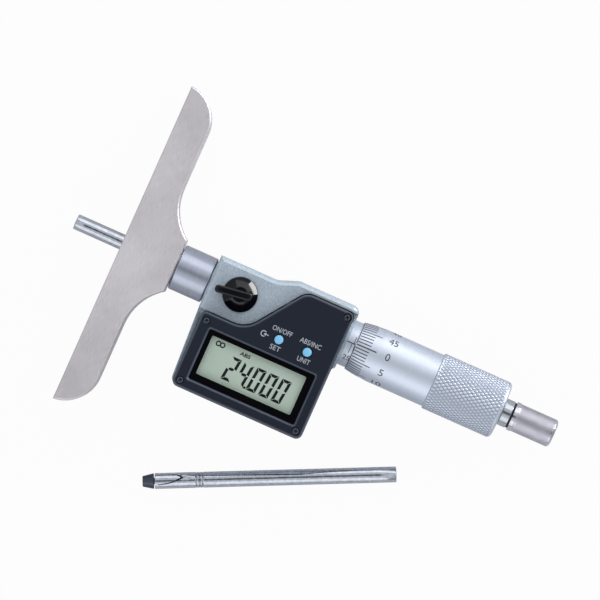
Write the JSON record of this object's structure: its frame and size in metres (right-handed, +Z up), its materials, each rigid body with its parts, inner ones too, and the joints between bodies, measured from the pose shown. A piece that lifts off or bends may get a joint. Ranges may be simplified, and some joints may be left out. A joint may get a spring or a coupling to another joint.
{
  "type": "digital depth gauge",
  "caption": "Digital depth micrometer with a long measuring base, display housing, knurled thimble, ratchet, lock lever and a loose interchangeable rod.",
  "frame": {"origin": "on the surface that the gauge lies on, under the middle of the whole set's box", "axes": "+X along the spindle from the measuring rod to the ratchet, +Y along the measuring base, +Z up out of the display"},
  "size_m": [0.156, 0.1152, 0.0232],
  "materials": {
    "base_steel": "finely ground, grain along the base",
    "satin_chrome": "satin chromed",
    "cast_frame": "light grey hammertone enamel",
    "black_housing": "dark blue-black, lightly textured",
    "black_gloss": "polished black",
    "seal_rubber": "plain black",
    "clear_window": "clear",
    "display_panel": "grey-green liquid-crystal panel",
    "circuit_board": "green lacquer",
    "blue_button": "light blue, satin",
    "brass": "turned",
    "bright_steel": "ground and polished",
    "cell_steel": "nickel plated",
    "dark_steel": "blued",
    "black_screw": "blackened steel"
  },
  "bodies": {
    "gauge": {"measuring_base": "base_steel", "neck_sleeve": "satin_chrome", "frame_casting": "cast_frame", "housing_seal": "seal_rubber", "front_housing": "black_housing", "housing_screw_1": "black_screw", "housing_screw_2": "black_screw", "housing_screw_3": "black_screw", "housing_screw_4": "black_screw", "display_window": "clear_window", "display_panel": "display_panel", "display_connector": "seal_rubber", "main_board": "circuit_board", "switch_board": "circuit_board", "battery_cell": "cell_steel", "battery_holder": "black_housing", "battery_contact": "brass", "encoder_stator": "circuit_board", "encoder_retainer": "brass", "thread_sleeve": "brass", "graduated_sleeve": "satin_chrome", "adjusting_nut": "bright_steel", "spare_rod": "bright_steel", "spare_rod_tip": "dark_steel"},
    "rotor": {"encoder_rotor": "brass", "rotor_key": "bright_steel"},
    "spindle_and_thimble": {"spindle": "bright_steel", "thimble": "satin_chrome", "ratchet_body": "bright_steel", "ratchet_screw": "bright_steel"},
    "ratchet": {"ratchet_knob": "bright_steel", "ratchet_pawl": "brass", "ratchet_spring": "bright_steel"},
    "fitted_rod": {"measuring_rod": "bright_steel", "measuring_rod_tip": "dark_steel"},
    "lock": {"lock_lever": "black_gloss", "lock_screw": "bright_steel"},
    "lock_foot": {"lock_shoe": "brass"},
    "left_button": {"button_left": "blue_button"},
    "right_button": {"button_right": "blue_button"},
    "battery_seal": {"battery_o_ring": "seal_rubber"},
    "cap": {"battery_cap": "satin_chrome"}
  },
  "joints": [
    {"name": "thimble_turn", "type": "hinge", "parent": "gauge", "child": "rotor", "pos_m": [0, 0.0069, 0.0098], "axis": [-1, 0, 0], "range_deg": [-17281, 721]},
    {"name": "spindle_feed", "type": "slide", "parent": "rotor", "child": "spindle_and_thimble", "axis": [-1, 0, 0], "range_m": [-0.024, 0.001]},
    {"name": "ratchet_slip", "type": "hinge", "parent": "spindle_and_thimble", "child": "ratchet", "pos_m": [0.07, 0.0069, 0.0098], "axis": [-1, 0, 0], "continuous": true},
    {"name": "rod_pull", "type": "slide", "parent": "spindle_and_thimble", "child": "fitted_rod", "axis": [-1, 0, 0], "range_m": [0, 0.037]},
    {"name": "lock_lever_turn", "type": "hinge", "parent": "gauge", "child": "lock", "pos_m": [-0.0243, 0.0069, 0.0098], "axis": [0, 0, 1], "range_deg": [-50.1, 0]},
    {"name": "lock_shoe_press", "type": "slide", "parent": "gauge", "child": "lock_foot", "axis": [0, 0, -1], "range_m": [0, 0.00025]},
    {"name": "left_button_press", "type": "slide", "parent": "gauge", "child": "left_button", "axis": [0, 0, -1], "range_m": [0, 0.0005], "stiffness_N_per_m": 1000, "springref_m": -0.0003},
    {"name": "right_button_press", "type": "slide", "parent": "gauge", "child": "right_button", "axis": [0, 0, -1], "range_m": [0, 0.0005], "stiffness_N_per_m": 1000, "springref_m": -0.0003},
    {"name": "battery_cap_feed", "type": "slide", "parent": "gauge", "child": "battery_seal", "axis": [0, 0, -1], "range_m": [0, 0.002]},
    {"name": "battery_cap_turn", "type": "hinge", "parent": "battery_seal", "child": "cap", "pos_m": [-0.0116, -0.0135, 0], "axis": [0, 0, -1], "range_deg": [0, 721]}
  ],
  "couplings": [
    {"joint": "thimble_turn", "follows": "spindle_feed", "rad_per_m": 12566},
    {"joint": "lock_lever_turn", "follows": "lock_shoe_press", "rad_per_m": -3490.7},
    {"joint": "battery_cap_turn", "follows": "battery_cap_feed", "rad_per_m": 6283.2}
  ]
}
